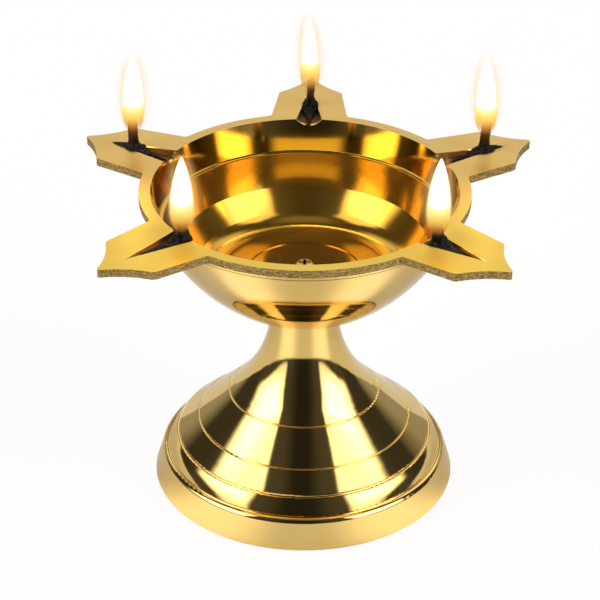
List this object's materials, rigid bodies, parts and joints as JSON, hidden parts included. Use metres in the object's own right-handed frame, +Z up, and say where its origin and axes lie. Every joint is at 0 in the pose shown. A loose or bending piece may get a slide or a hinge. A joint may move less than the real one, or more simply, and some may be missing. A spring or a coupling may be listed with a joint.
{
  "type": "aarti oil lamp",
  "caption": "Brass aarti oil lamp: a round bowl with leaf-shaped wick spouts, screwed to a flared turned pedestal, with lit cotton wicks.",
  "frame": {"origin": "on the lamp's axis, at the table plane under the pedestal's foot", "axes": "+Z up along the lamp's axis; +Y towards the middle leaf at the back; the wide gap between leaves faces -Y; +X to the right"},
  "size_m": [0.138, 0.128, 0.131],
  "materials": {
    "bowl_brass": "cast brass with a satin turned top and a polished outside",
    "stand_brass": "turned and polished brass",
    "screw_brass": "bright machined brass",
    "seal_rubber": "dark oiled rubber",
    "charred_cotton": "twisted cotton soaked in oil and charred",
    "flame": "glowing flame, bright in the middle and orange at its edge"
  },
  "bodies": {
    "lamp": {"oil_bowl": "bowl_brass", "pedestal": "stand_brass", "bowl_screw": "screw_brass", "seal_washer": "seal_rubber", "neck_washer": "screw_brass", "screw_nut": "screw_brass"},
    "wick_front_left": {"wick_front_left": "charred_cotton", "flame_front_left": "flame"},
    "wick_back_left": {"wick_back_left": "charred_cotton", "flame_back_left": "flame"},
    "wick_back": {"wick_back": "charred_cotton", "flame_back": "flame"},
    "wick_back_right": {"wick_back_right": "charred_cotton", "flame_back_right": "flame"},
    "wick_front_right": {"wick_front_right": "charred_cotton", "flame_front_right": "flame"}
  },
  "joints": [
    {"name": "lift_front_left", "type": "slide", "parent": "lamp", "child": "wick_front_left", "axis": [0, 0, 1], "range_m": [0, 0.03]},
    {"name": "lift_back_left", "type": "slide", "parent": "lamp", "child": "wick_back_left", "axis": [0, 0, 1], "range_m": [0, 0.03]},
    {"name": "lift_back", "type": "slide", "parent": "lamp", "child": "wick_back", "axis": [0, 0, 1], "range_m": [0, 0.03]},
    {"name": "lift_back_right", "type": "slide", "parent": "lamp", "child": "wick_back_right", "axis": [0, 0, 1], "range_m": [0, 0.03]},
    {"name": "lift_front_right", "type": "slide", "parent": "lamp", "child": "wick_front_right", "axis": [0, 0, 1], "range_m": [0, 0.03]}
  ]
}
